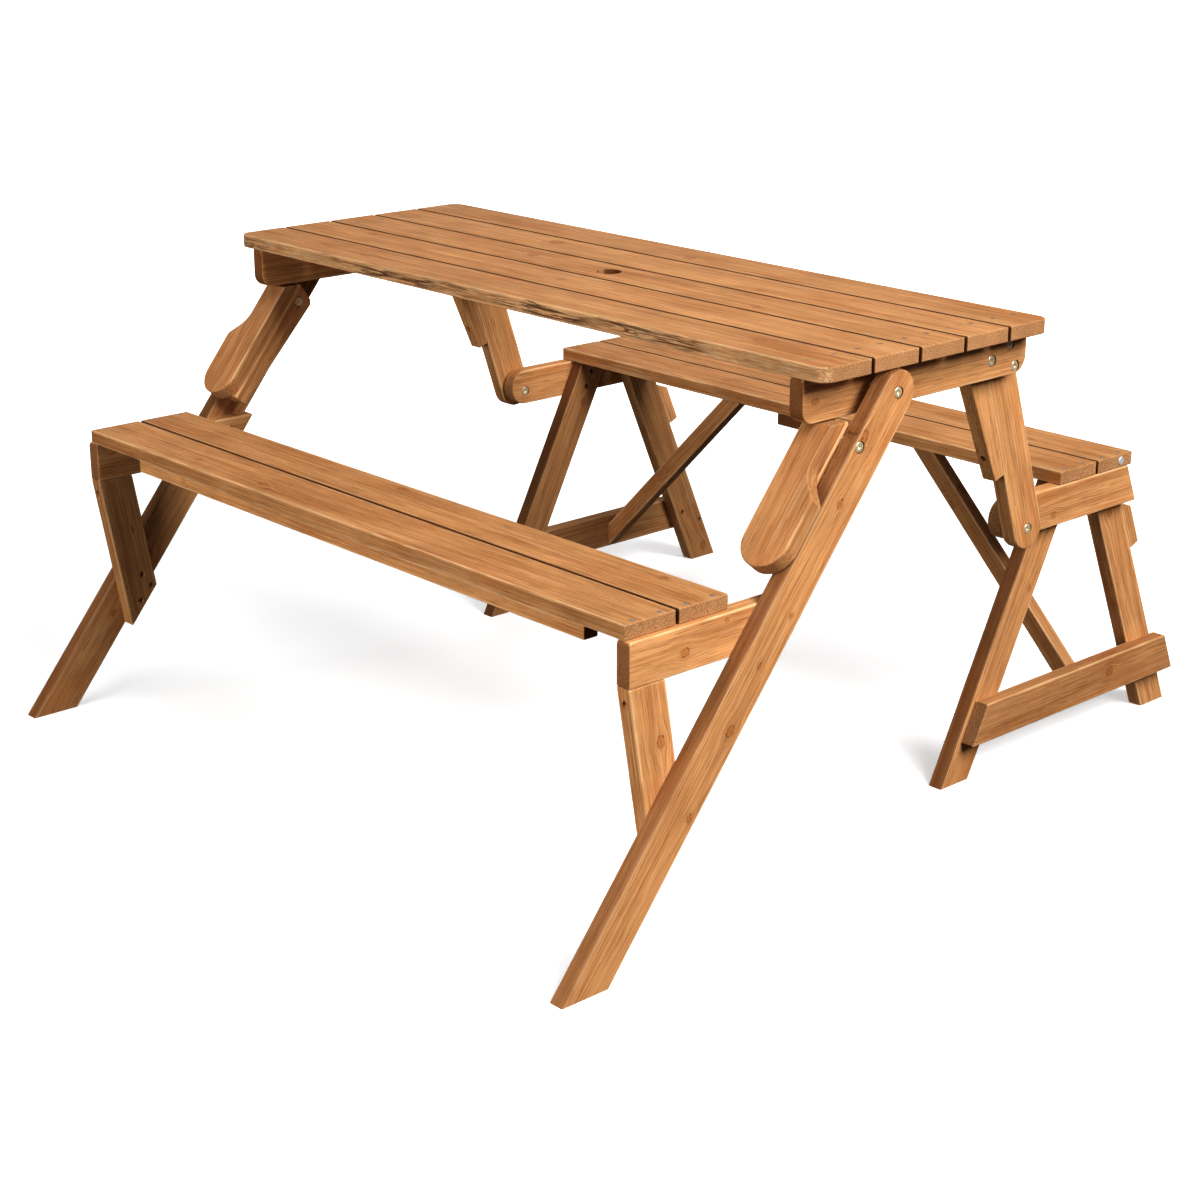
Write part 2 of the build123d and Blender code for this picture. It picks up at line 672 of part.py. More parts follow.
def add_arm_screws(parts):
    """Screws from behind each arm board into its armrest."""
    points = [(ARM_LAYER + ARM_WIDTH / 2, *leg_point(along, ARM_SCREW_HEAD)) for along in ARM_SCREWS]
    places = both_sides(points, (0, *across(LEG_UP)))
    half = len(points)
    for side, side_places in (("right", places[:half]), ("left", places[half:])):
        nodes = [f"arm_board_{side}", f"armrest_{side}"]
        add_screws(parts, f"arm_screws_{side}", FRAME_SCREW_LENGTH, DEEP_OPENING, side_places, nodes)


def add_end_tack(parts):
    """Round-headed tack in the right-hand end of the rearmost seat slat."""
    place = facing((REAR_SEAT_HALF_LENGTH, *TACK_POINT), OUTWARD)
    pin = cylinder(TACK_PIN_RADIUS, 0, -TACK_PIN_LENGTH)
    parts["rear_end_tack"] = place * (rounded_disc(TACK_RADIUS, TACK_HEIGHT, TACK_ROUNDING) + pin)
    drill(parts, ["rear_slat_2"], pin, [place])


# ---------------------------------------------------------------- pivots and bolts

def recess():
    """Round recess sunk below a surface at zero."""
    return cylinder(RECESS_RADIUS, 0, -RECESS_DEPTH)


def add_fixings(parts, name, pivot, head_x, nut_x):
    """Bolts with their heads looking outwards at head_x, and nuts seated at nut_x."""
    grip = head_x - nut_x + NUT_SEAT
    heads = both_sides([(head_x, *point) for point in pivot], OUTWARD)
    seats = both_sides([(nut_x, *point) for point in pivot], INWARD)
    fasten(parts, f"{name}_bolts", bolt(grip), heads)
    fasten(parts, f"{name}_nuts", sleeve_nut(), seats)


def bore(parts, node, pivot, radius):
    """Hole right through a pair of boards at each (y, z) point."""
    places = both_sides([(0, *point) for point in pivot], OUTWARD)
    drill(parts, pair_of(node), cylinder(radius, 0, HALF_LENGTH * 2), places)


def sink(parts, node, pivot, x, direction):
    """Recesses in a pair of boards, below the surface at x that looks along direction."""
    places = both_sides([(x, *point) for point in pivot], direction)
    drill(parts, pair_of(node), recess(), places)


def add_bench_pivots(parts):
    """Posts turn on bolts fixed in the rear rails."""
    pivot = (BENCH_PIVOT,)
    post_face = POST_LAYER + BOARD_THICKNESS
    rail_face = REAR_RAIL_LAYER + BOARD_THICKNESS
    bore(parts, "post", pivot, BOLT_RADIUS + RUNNING_CLEARANCE)
    bore(parts, "rear_rail", pivot, BOLT_RADIUS)
    sink(parts, "post", pivot, post_face, OUTWARD)
    sink(parts, "rear_rail", pivot, REAR_RAIL_LAYER, INWARD)
    head_x = post_face - RECESS_DEPTH + SIDE_CLEARANCE
    add_fixings(parts, "bench_pivot", pivot, head_x, REAR_RAIL_LAYER + RECESS_DEPTH)
    washer = ring(POST_LAYER - rail_face - SIDE_CLEARANCE)
    fasten(parts, "bench_pivot_washers", washer, both_sides([(rail_face, *BENCH_PIVOT)], OUTWARD))


def add_leg_pivots(parts, name, point, moving, moving_span, ring_name):
    """A board beside each long leg turns on a bolt fixed in the leg."""
    pivot = (point,)
    leg_face = LEG_LAYER + BOARD_THICKNESS
    inner_face, moving_face = moving_span
    bore(parts, "long_leg", pivot, BOLT_RADIUS)
    bore(parts, moving, pivot, BOLT_RADIUS + RUNNING_CLEARANCE)
    sink(parts, "long_leg", pivot, leg_face, OUTWARD)
    sink(parts, moving, pivot, inner_face, INWARD)
    nut_x = inner_face + RECESS_DEPTH - SIDE_CLEARANCE
    add_fixings(parts, name, pivot, leg_face - RECESS_DEPTH, nut_x)
    collar = ring(LEG_LAYER - moving_face - SIDE_CLEARANCE)
    fasten(parts, ring_name, collar, both_sides([(LEG_LAYER, *point)], INWARD))


def add_cleat_bolts(parts):
    """Three bolts a side join the cleats to the posts and their blocks."""
    cleat_face = CLEAT_LAYER + BOARD_THICKNESS
    for node in ("top_cleat", "post", "post_block"):
        bore(parts, node, CLEAT_BOLTS, BOLT_RADIUS)
    sink(parts, "top_cleat", CLEAT_BOLTS, cleat_face, OUTWARD)
    for node in ("post", "post_block"):
        sink(parts, node, CLEAT_BOLTS, POST_LAYER, INWARD)
    add_fixings(parts, "cleat", CLEAT_BOLTS, cleat_face - RECESS_DEPTH, POST_LAYER + RECESS_DEPTH)


# ---------------------------------------------------------------- whole table

def build():
    parts = {}
    add_top_slats(parts)
    add_cleats(parts)
    add_posts(parts)
    add_long_legs(parts)
    add_front_rails(parts)
    add_front_struts(parts)
    add_front_seat(parts)
    add_arm_boards(parts)
    add_armrests(parts)
    add_rear_seat(parts)
    add_rear_rails(parts)
    add_a_leg(parts, "rear_front_leg", FRONT_A_LEG_FOOT, FRONT_A_LEG_LEAN)
    add_a_leg(parts, "rear_back_leg", REAR_A_LEG_FOOT, -REAR_A_LEG_LEAN)
    add_stretchers(parts)
    add_braces(parts)
    add_backrest_stops(parts)
    add_slat_screws(parts)
    add_block_screws(parts)
    add_front_frame_screws(parts)
    add_rear_frame_screws(parts)
    add_arm_screws(parts)
    add_end_tack(parts)
    add_bench_pivots(parts)
    add_leg_pivots(parts, "top_pivot", TOP_PIVOT, "top_cleat", CLEAT_SPAN, "top_pivot_spacers")
    add_leg_pivots(parts, "arm_pivot", ARM_PIVOT, "arm_board", ARM_SPAN, "arm_pivot_washers")
    add_cleat_bolts(parts)
    return parts


def main():
    os.makedirs("parts", exist_ok=True)
    for name, shape in build().items():
        export_step(shape, f"parts/{name}.step")


if __name__ == "__main__":
    main()
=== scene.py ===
import json
import math
import random

import bpy
from mathutils import Matrix, Vector

# Convertible picnic table in stained softwood. Sizes are in metres, in the frame of the CAD model:
# X along the slats, Y from the front bench to the rear bench, Z up, origin on the ground.

# Camera
CAMERA_PLACE = (2.539, -2.365, 1.394)
CAMERA_AZIMUTH = 47.357
CAMERA_ELEVATION = 18.496
CAMERA_ROLL = 0.126
LENS_MM = 69.17
SENSOR_MM = 36.0
LENS_SHIFT = (-0.01164, -0.01784)

# Directions of the grain, in degrees from the ground: from +Y for boards in the side frames,
# and from +X for the braces
LONG_LEG_SLOPE = 51.14
STRUT_SLOPE = 99.5
POST_SLOPE = 108.5
FRONT_A_LEG_SLOPE = 63.0
REAR_A_LEG_SLOPE = 113.5
BRACE_SLOPE = 135.0

SIDE_FRAME_SLOPES = {
    "long_leg": LONG_LEG_SLOPE,
    "arm_board": LONG_LEG_SLOPE,
    "armrest": LONG_LEG_SLOPE,
    "front_strut": STRUT_SLOPE,
    "post": POST_SLOPE,
    "post_block": POST_SLOPE,
    "rear_front_leg": FRONT_A_LEG_SLOPE,
    "rear_back_leg": REAR_A_LEG_SLOPE,
    "backrest_stop": REAR_A_LEG_SLOPE,
    "top_cleat": 0.0,
    "front_rail": 0.0,
    "rear_rail": 0.0,
    "rear_stretcher": 0.0,
    "rear_seat_batten": 0.0,
}

# Stained softwood
EARLY_WOOD = (0.590, 0.288, 0.113, 1)
LATE_WOOD = (0.300, 0.118, 0.040, 1)
RED_STAIN = (0.415, 0.145, 0.040, 1)
# Pale colour of rubbed stain, also used for a painted highlight along the eased edges
PALE_WEAR_AND_HIGHLIGHT = (0.695, 0.415, 0.205, 1)
DARK_FIBRE = (0.200, 0.070, 0.020, 1)
KNOT_HEART = (0.300, 0.105, 0.030, 1)
KNOT_RIM = (0.070, 0.024, 0.009, 1)
BARK = (0.125, 0.062, 0.033, 1)
BARE_EDGE = (0.640, 0.400, 0.205, 1)
# Dark colour of stain soaked into sawn ends, also used for painted shade on the sides of boards
POOLED_STAIN_AND_SHADE = (0.110, 0.034, 0.009, 1)

# Slats are drawn a little darker than the frames. Some boards differ from the rest: the far (left) frame
# boards and the right brace are drawn darker as painted shade, the right front rail and strut lighter as
# painted light, and the others in their own tone
SLAT_TONE = 0.87
FRAME_TONE = 1.02
BOARD_TONES_WITH_PAINTED_LIGHT = {
    "rear_stretcher_right": 0.76,
    "top_cleat_right": 0.97,
    # painted shade on the right brace
    "rear_brace_right": 0.72,
    # painted light on the right front rail and strut
    "front_rail_right": 1.12,
    "front_strut_right": 1.12,
    "armrest_right": 0.84,
    "armrest_left": 0.84,
    # painted shade on the far (left) frame boards
    "rear_back_leg_left": 0.66,
    "rear_front_leg_left": 0.70,
    "rear_stretcher_left": 0.68,
    "long_leg_left": 0.80,
    "front_strut_left": 0.80,
}

# How dark the painted shade is on the sides of a board: on slat sides that face a gap, and on the front
# edges of the bench legs and long legs. -1 is the side before it, 1 the side after it
GAP_PAINTED_SHADE = 0.90
BENCH_LEG_PAINTED_SHADE = 0.78
LONG_LEG_PAINTED_SHADE = 0.66
SIDE_PAINTED_SHADE = {
    "top_slat_1": {1: GAP_PAINTED_SHADE},
    "top_slat_2": {-1: GAP_PAINTED_SHADE, 1: GAP_PAINTED_SHADE},
    "top_slat_3": {-1: GAP_PAINTED_SHADE, 1: GAP_PAINTED_SHADE},
    "top_slat_4": {-1: GAP_PAINTED_SHADE, 1: GAP_PAINTED_SHADE},
    "top_slat_5": {-1: GAP_PAINTED_SHADE},
    "front_slat_1": {1: GAP_PAINTED_SHADE},
    "front_slat_2": {-1: GAP_PAINTED_SHADE},
    "rear_slat_1": {1: GAP_PAINTED_SHADE},
    "rear_slat_2": {-1: GAP_PAINTED_SHADE},
    "rear_front_leg_right": {1: BENCH_LEG_PAINTED_SHADE},
    "rear_front_leg_left": {1: BENCH_LEG_PAINTED_SHADE},
    "long_leg_right": {1: LONG_LEG_PAINTED_SHADE},
    "long_leg_left": {1: LONG_LEG_PAINTED_SHADE},
}
WANEY_SIDES = {"top_slat_1": {-1: 1.0}}

# How far a face has to turn to a side, or to an end, before it counts as one
SIDE_FADE = (0.12, 0.5)
END_FADE = (0.55, 0.8)

# How much stain the sawn ends of a board have soaked up
END_STAIN = {
    "top_cleat": 0.80,
    "front_rail": 0.70,
    "rear_rail": 0.35,
    "rear_stretcher": 0.55,
    "front_seat_batten": 0.90,
    "rear_seat_batten": 0.80,
}
USUAL_END_STAIN = 0.15

# Knots on the boards that show most, as places on the table with a radius
BOARD_KNOTS = {
    "long_leg_right": (
        (0.654, -0.236, 0.549, 0.0050),
        (0.654, -0.197, 0.628, 0.0085),
        (0.654, -0.322, 0.4175, 0.0035),
        (0.654, -0.429, 0.288, 0.0060),
        (0.654, -0.379, 0.364, 0.0025),
        (0.654, -0.500, 0.190, 0.0040),
    ),
    "front_rail_right": ((0.630, -0.487, 0.402, 0.0055), (0.630, -0.414, 0.428, 0.0025)),
    "front_strut_right": ((0.630, -0.527, 0.294, 0.0060),),
    "top_cleat_right": ((0.612, -0.243, 0.677, 0.0045),),
    "top_slat_1": ((0.480, -0.209, 0.730, 0.0050), (-0.350, -0.230, 0.730, 0.0035)),
    "top_slat_3": ((-0.180, -0.035, 0.730, 0.0065), (0.330, -0.060, 0.730, 0.0040)),
    "top_slat_4": ((-0.241, 0.067, 0.730, 0.0090), (0.250, 0.030, 0.730, 0.0045)),
    "top_slat_5": ((0.002, 0.130, 0.730, 0.0075),),
}

# Knots of the other boards: one in so many metres, with a spread in shares of the half size
KNOT_SPACING = 0.50
KNOT_SPREAD = (0.9, 0.7)
KNOT_RADII = (0.0025, 0.0060)

# Shape of a knot, in multiples of its radius
KNOT_NARROWING = 0.72
KNOT_HEART_FADE = (0.85, 1.1)
KNOT_CRACK_FADE = (0.18, 0.34)
KNOT_RIM_WIDTH = 0.25
KNOT_RINGS_FADE = (1.5, 2.6)
KNOT_RING_DENSITY = 16.0
GRAIN_BEND = 0.85
GRAIN_BEND_REACH = 2.4
KNOT_TREMBLE_SCALE = (130, 130, 60)
KNOT_RIM_GAP_SCALE = (240, 240, 80)

# Patterns of the wood: features per metre along and across the grain, detail and distortion
RING_DRIFT = (1.6, 9.0, 2.0, 0.0)
RING_WAVER = (5.0, 40.0, 2.0, 0.0)
LATE_WOOD_PATCHES = (2.5, 30.0, 2.0, 0.0)
STAIN_PATCHES = (3.0, 16.0, 4.0, 0.6)
RUBBED_PATCHES = (4.0, 28.0, 4.0, 0.5)
BROAD_FIBRES = (2.0, 75.0, 3.0, 0.4)
THIN_FIBRES = (6.0, 420.0, 3.0, 0.0)
FINE_FIBRES = (14.0, 1500.0, 2.0, 0.0)
DARK_DASHES = (22.0, 520.0, 2.0, 0.0)
BARK_FLAMES = (9.0, 210.0, 3.0, 2.2)
BARK_PATCHES = (5.0, 20.0, 3.0, 0.5)
BARE_GRAIN = (40.0, 420.0, 3.0, 0.8)
EDGE_CHIPS = (16.0, 200.0, 4.0, 0.0)
PORE_SCALE = (300, 700, 700)
MOTTLE_SCALE = (9.0, 14.0, 14.0)

# Growth rings: how far they drift and waver, how uneven they are and how the late wood comes and goes
RING_DRIFT_SIZE = 0.016
RING_WAVER_SIZE = 0.0022
RING_UNEVENNESS = 1.1
LATE_WOOD_RISE = (0.15, 0.9)
LATE_WOOD_FALL = (0.9, 1.0)

# Each board draws its own values from these ranges
PITH_OFFSETS = (-0.5, 0.5)
PITH_DEPTHS = (0.02, 0.07)
PITH_TILTS = (-0.02, 0.02)
RING_WIDTHS = (0.0032, 0.0060)
RING_CONTRASTS = (0.25, 0.60)
SEEDS = (0, 50)
TONE_SPREAD = (0.96, 1.04)

# How strongly the marks on a board colour it
END_GRAIN_STRENGTH = 0.70
KNOT_HEART_STRENGTH = 0.7
KNOT_RINGS_STRENGTH = 0.32
KNOT_RIM_STRENGTH = 0.80
PORE_FADE = (0.40, 0.62)
BARK_FADE = (0.46, 0.55)
BARE_FADE = (0.42, 0.60)
CHIP_FADE = (0.36, 0.58)
CHIP_STRENGTHS = (0.12, 0.85)
MOTTLE_FADE = (0.3, 0.7)
MOTTLE_TONES = (0.90, 1.08)

# Roughness of the faces, and what fibres, sawn ends and knots add to it
FACE_ROUGHNESS = 0.50
FIBRE_ROUGHNESS = 0.16
END_ROUGHNESS = 0.16
KNOT_ROUGHNESS = -0.12

# Wear and a painted highlight along the long edges of a board start and are full at these distances from
# the edge
EDGE_WEAR_AND_HIGHLIGHT_START = 0.0045
EDGE_WEAR_AND_HIGHLIGHT_FULL = 0.0012

WOOD_SPECULAR = 0.22
WOOD_BUMP_STRENGTH = 0.55
WOOD_BUMP_DEPTH = 0.0006

# Plated steel: clean colour, dull colour and roughness
YELLOW_ZINC = ((0.95, 0.86, 0.64, 1), (0.70, 0.56, 0.34, 1), 0.20)
DULL_ZINC = ((0.62, 0.56, 0.47, 1), (0.34, 0.27, 0.20, 1), 0.26)
BRIGHT_NICKEL = ((0.98, 0.98, 0.98, 1), (0.86, 0.87, 0.90, 1), 0.20)
PLATING_METALLIC = 0.65
PLATING_CLOUD_SCALE = 260.0
PLATING_SCRATCH_SCALE = (4000.0, 900.0, 500.0)
METAL_BUMP_STRENGTH = 0.3
METAL_BUMP_DEPTH = 0.0002

# Studio: the floor and the wall glow so that they stay white behind the table
WHITE = (1, 1, 1, 1)
SET_COLOUR = (0.9, 0.9, 0.9, 1)
SET_ROUGHNESS = 0.9
FLOOR_SIZE = 60
FLOOR_GLOW_NEAR = (0.30, 0.30, 0.30, 1)
FLOOR_GLOW_REACH = (0.8, 3.5)
WALL_RADIUS = 28
WALL_HEIGHT = 56
WALL_GLOW = 1.5
WORLD_BELOW = (0.45, 0.45, 0.45, 1)
WORLD_FADE = (-0.12, 0.02)
WORLD_STRENGTH = 0.10

# Soft lights: name, place, aim, size, watts and whether they show in reflections
LIGHTS = (
    ("Key_overhead", (-0.6, -2.0, 4.2), (0, 0, 0.5), (3.0, 3.0), 55, True),
    ("Right_high", (4.2, 0.3, 3.9), (0, 0, 0.4), (2.8, 2.8), 410, True),
    ("Front_fill", (0.4, -4.2, 0.9), (0, 0, 0.4), (2.0, 1.6), 92, False),
    ("Back_fill", (-3.2, 2.8, 2.2), (0, 0, 0.4), (2.4, 2.4), 55, False),
)


class Graph:
    """Adds nodes to a node tree and links them."""

    def __init__(self, tree):
        self.tree = tree

    def node(self, kind, **settings):
        node = self.tree.nodes.new(kind)
        for name, value in settings.items():
            setattr(node, name, value)
        return node

    def feed(self, socket, value):
        """Links a socket to another, or gives it a constant."""
        if isinstance(value, bpy.types.NodeSocket):
            self.tree.links.new(value, socket)
        else:
            socket.default_value = value

    def math(self, operation, *values):
        node = self.node("ShaderNodeMath", operation=operation)
        for socket, value in zip(node.inputs, values):
            self.feed(socket, value)
        return node.outputs[0]

    def add(self, first, second):
        return self.math("ADD", first, second)

    def multiply(self, first, second):
        return self.math("MULTIPLY", first, second)

    def vector(self, operation, *values):
        node = self.node("ShaderNodeVectorMath", operation=operation)
        for socket, value in zip(node.inputs, values):
            self.feed(socket, value)
        return node.outputs[0]

    def dot(self, first, second):
        return self.vector("DOT_PRODUCT", first, second).node.outputs["Value"]

    def length(self, vector):
        return self.vector("LENGTH", vector).node.outputs["Value"]

    def scale(self, vector, factor):
        node = self.node("ShaderNodeVectorMath", operation="SCALE")
        self.feed(node.inputs[0], vector)
        self.feed(node.inputs["Scale"], factor)
        return node.outputs["Vector"]

    def split(self, vector):
        node = self.node("ShaderNodeSeparateXYZ")
        self.feed(node.inputs[0], vector)
        return node.outputs

    def join(self, x, y, z):
        node = self.node("ShaderNodeCombineXYZ")
        for socket, value in zip(node.inputs, (x, y, z)):
            self.feed(socket, value)
        return node.outputs[0]

    def noise(self, vector, detail=2.0, roughness=0.5, distortion=0.0):
        """Noise between 0 and 1 with features about one unit apart."""
        node = self.node("ShaderNodeTexNoise")
        settings = {
            "Vector": vector,
            "Scale": 1.0,
            "Detail": detail,
            "Roughness": roughness,
            "Distortion": distortion,
        }
        for name, value in settings.items():
            self.feed(node.inputs[name], value)
        return node.outputs[0]

    def ramp(self, value, low, high, to_low=0.0, to_high=1.0):
        """Smooth step between two limits."""
        node = self.node("ShaderNodeMapRange", interpolation_type="SMOOTHSTEP")
        for socket, number in zip(node.inputs, (value, low, high, to_low, to_high)):
            self.feed(socket, number)
        return node.outputs[0]

    def mix(self, factor, first, second):
        """Mix of two colours."""
        node = self.node("ShaderNodeMix", data_type="RGBA", blend_type="MIX")
        for index, value in ((0, factor), (6, first), (7, second)):
            self.feed(node.inputs[index], value)
        return node.outputs[2]


def new_group(name, inputs, outputs):
    """Empty node group with its sockets. Returns its graph, its inputs and its output node."""
    tree = bpy.data.node_groups.new(name, "ShaderNodeTree")
    kinds = {"F": "NodeSocketFloat", "V": "NodeSocketVector", "C": "NodeSocketColor"}
    for direction, sockets in (("INPUT", inputs), ("OUTPUT", outputs)):
        for label, kind in sockets.items():
            tree.interface.new_socket(label, in_out=direction, socket_type=kinds[kind])
    graph = Graph(tree)
    return graph, graph.node("NodeGroupInput").outputs, graph.node("NodeGroupOutput").inputs


def new_material(name):
    """New material. Returns it with its graph and its shader."""
    material = bpy.data.materials.new(name)
    material.use_nodes = True
    return material, Graph(material.node_tree), material.node_tree.nodes["Principled BSDF"]


def add_bump(graph, shader, height, strength, depth):
    """Relief from a height pattern."""
    bump = graph.node("ShaderNodeBump")
    bump.inputs["Strength"].default_value = strength
    bump.inputs["Distance"].default_value = depth
    graph.feed(bump.inputs["Height"], height)
    graph.feed(shader.inputs["Normal"], bump.outputs[0])


# ---------------------------------------------------------------- wood

def make_knot_group():
    """Bends the grain round one knot and marks its heart, its rim and the rings round it."""
    graph, given, result = new_group(
        "Knot",
        {"Vector": "V", "Centre": "V", "Radius": "F"},
        {"Vector": "V", "Heart": "F", "Rim": "F", "Rings": "F"},
    )
    place = given["Vector"]
    tremble = graph.noise(graph.vector("MULTIPLY", place, KNOT_TREMBLE_SCALE))

    # Distance from the centre in knot radii, with a wobble
    away = graph.split(graph.vector("SUBTRACT", place, given["Centre"]))
    along = graph.multiply(away[0], KNOT_NARROWING)
    squares = graph.add(graph.math("POWER", along, 2), graph.math("POWER", away[1], 2))
    wobble = graph.math("MULTIPLY_ADD", tremble, 0.6, 0.7)
    share = graph.multiply(graph.math("DIVIDE", graph.math("SQRT", squares), given["Radius"]), wobble)

    # The grain gives way on both sides of the knot
    fading = graph.math("POWER", graph.math("DIVIDE", share, GRAIN_BEND_REACH), 2)
    near = graph.math("EXPONENT", graph.multiply(fading, -1))
    shift = graph.multiply(graph.multiply(away[1], near), -GRAIN_BEND)
    graph.feed(result["Vector"], graph.vector("ADD", place, graph.join(0.0, shift, 0.0)))

    # Heart, broken rim with a crack in the middle, and rings
    graph.feed(result["Heart"], graph.ramp(share, *KNOT_HEART_FADE, 1.0, 0.0))
    crack = graph.ramp(graph.add(share, graph.multiply(tremble, 0.3)), *KNOT_CRACK_FADE, 1.0, 0.0)
    from_rim = graph.math("ABSOLUTE", graph.math("SUBTRACT", share, 1.0))
    gaps = graph.noise(graph.vector("MULTIPLY", place, KNOT_RIM_GAP_SCALE))
    rim = graph.ramp(from_rim, 0.0, KNOT_RIM_WIDTH, 1.0, 0.0)
    rim = graph.multiply(rim, graph.ramp(gaps, 0.38, 0.62, 0.15, 1.0))
    graph.feed(result["Rim"], graph.math("MAXIMUM", rim, crack))
    wave = graph.math("SINE", graph.multiply(share, KNOT_RING_DENSITY))
    inside = graph.ramp(share, *KNOT_RINGS_FADE, 1.0, 0.0)
    graph.feed(result["Rings"], graph.multiply(graph.ramp(wave, 0.0, 1.0), inside))
    return graph.tree


def make_wood_group():
    """Softwood with growth rings round an off-centre pith, fibres, stain, pale edges of wear and painted
    highlight, and painted shade on some sides.
    """
    graph, given, result = new_group(
        "Softwood",
        {
            "Vector": "V", "Plain Vector": "V", "Pith": "V", "Tilt": "F", "Ring Width": "F",
            "Contrast": "F", "Seed": "F", "Tone": "F", "Heart": "F", "Rim": "F", "Rings": "F",
            "End": "F", "End Stain": "F", "Edge": "F", "Side Stain": "F", "Waney": "F",
        },
        {"Color": "C", "Roughness": "F", "Height": "F"},
    )
    seed = graph.join(given["Seed"], graph.multiply(given["Seed"], 1.7), 0.0)

    def streaks(along, across, detail, distortion, source="Vector"):
        """Noise stretched along the grain, different on each board."""
        scaled = graph.vector("MULTIPLY", given[source], (along, across, across))
        return graph.noise(graph.vector("ADD", scaled, seed), detail, 0.55, distortion)

    def centred(value, size):
        """Noise turned into an offset of the given size round zero."""
        return graph.multiply(graph.math("SUBTRACT", value, 0.5), size)

    # Growth rings: distance from a pith line that drifts along the board
    place = graph.split(given["Vector"])
    drift = graph.multiply(place[0], given["Tilt"])
    cross_section = graph.join(0.0, graph.add(place[1], drift), place[2])
    radius = graph.length(graph.vector("SUBTRACT", cross_section, given["Pith"]))
    radius = graph.add(radius, centred(streaks(*RING_DRIFT), RING_DRIFT_SIZE))
    radius = graph.add(radius, centred(streaks(*RING_WAVER), RING_WAVER_SIZE))
    phase = graph.math("DIVIDE", radius, given["Ring Width"])
    unevenness = graph.noise(graph.join(phase, given["Seed"], 0.0), 1.0)
    ring = graph.math("FRACT", graph.add(phase, centred(unevenness, RING_UNEVENNESS)))
    late = graph.multiply(graph.ramp(ring, *LATE_WOOD_RISE), graph.ramp(ring, *LATE_WOOD_FALL, 1.0, 0.0))
    late = graph.multiply(late, graph.ramp(streaks(*LATE_WOOD_PATCHES), 0.25, 0.75, 0.45, 1.0))
    colour = graph.mix(graph.multiply(late, given["Contrast"]), EARLY_WOOD, LATE_WOOD)

    # Stain soaks in unevenly: faint blotches, paler rubbed streaks and crisp darker fibres.
    # Each layer has a pattern, where it starts, where it is full, its strength and its colour.
    fine = streaks(*FINE_FIBRES)
    thin = streaks(*THIN_FIBRES)
    layers = (
        (streaks(*STAIN_PATCHES), 0.48, 0.66, 0.55, RED_STAIN),
        (streaks(*RUBBED_PATCHES), 0.56, 0.72, 0.42, PALE_WEAR_AND_HIGHLIGHT),
        (streaks(*BROAD_FIBRES), 0.50, 0.62, 0.30, LATE_WOOD),
        (thin, 0.52, 0.60, 0.38, LATE_WOOD),
        (thin, 0.46, 0.38, 0.30, PALE_WEAR_AND_HIGHLIGHT),
        (streaks(*DARK_DASHES), 0.60, 0.68, 0.55, DARK_FIBRE),
        (fine, 0.53, 0.66, 0.50, DARK_FIBRE),
    )
    for pattern, start, full, strength, tint in layers:
        colour = graph.mix(graph.ramp(pattern, start, full, 0.0, strength), colour, tint)

    # Sawn ends show short speckled pores instead of long fibres
    pores = graph.noise(graph.vector("MULTIPLY", given["Plain Vector"], PORE_SCALE), 2.0, 0.7)
    end_colour = graph.mix(graph.ramp(pores, *PORE_FADE), LATE_WOOD, PALE_WEAR_AND_HIGHLIGHT)
    colour = graph.mix(graph.multiply(given["End"], END_GRAIN_STRENGTH), colour, end_colour)
    colour = graph.mix(graph.multiply(given["End"], given["End Stain"]), colour, POOLED_STAIN_AND_SHADE)

    # Waney edge: flames of dark bark between bare pale wood
    flames = streaks(*BARK_FLAMES)
    patches = graph.ramp(streaks(*BARK_PATCHES), 0.40, 0.58, 0.30, 1.0)
    bare = graph.mix(graph.ramp(streaks(*BARE_GRAIN), *BARE_FADE), BARE_EDGE, EARLY_WOOD)
    waney = graph.mix(graph.multiply(graph.ramp(flames, *BARK_FADE), patches), bare, BARK)
    colour = graph.mix(given["Waney"], colour, waney)

    # Knots, then pale edges of wear and painted highlight, then painted shade on the sides, then the
    # tone of the whole board, which holds painted shade on some boards and painted light on others
    colour = graph.mix(graph.multiply(given["Heart"], KNOT_HEART_STRENGTH), colour, RED_STAIN)
    colour = graph.mix(graph.multiply(given["Rings"], KNOT_RINGS_STRENGTH), colour, KNOT_HEART)
    colour = graph.mix(graph.multiply(given["Rim"], KNOT_RIM_STRENGTH), colour, KNOT_RIM)
    # Pale edges: partly wear, partly a painted highlight along the eased arrises
    chips = streaks(*EDGE_CHIPS, "Plain Vector")
    edge_wear_and_highlight = graph.multiply(given["Edge"], graph.ramp(chips, *CHIP_FADE, *CHIP_STRENGTHS))
    colour = graph.mix(edge_wear_and_highlight, colour, PALE_WEAR_AND_HIGHLIGHT)
    # Painted shade on board sides that face a gap and on the front edges of some legs
    colour = graph.mix(given["Side Stain"], colour, POOLED_STAIN_AND_SHADE)
    mottle = graph.noise(graph.vector("MULTIPLY", given["Plain Vector"], MOTTLE_SCALE), 4.0, 0.6)
    tone = graph.multiply(given["Tone"], graph.ramp(mottle, *MOTTLE_FADE, *MOTTLE_TONES))
    graph.feed(result["Color"], graph.scale(colour, tone))

    # Sawn ends are rougher than the faces, and knots are smoother
    rough = graph.math("MULTIPLY_ADD", fine, FIBRE_ROUGHNESS, FACE_ROUGHNESS)
    rough = graph.add(rough, graph.multiply(given["End"], END_ROUGHNESS))
    rough = graph.add(rough, graph.multiply(given["Heart"], KNOT_ROUGHNESS))
    graph.feed(result["Roughness"], rough)

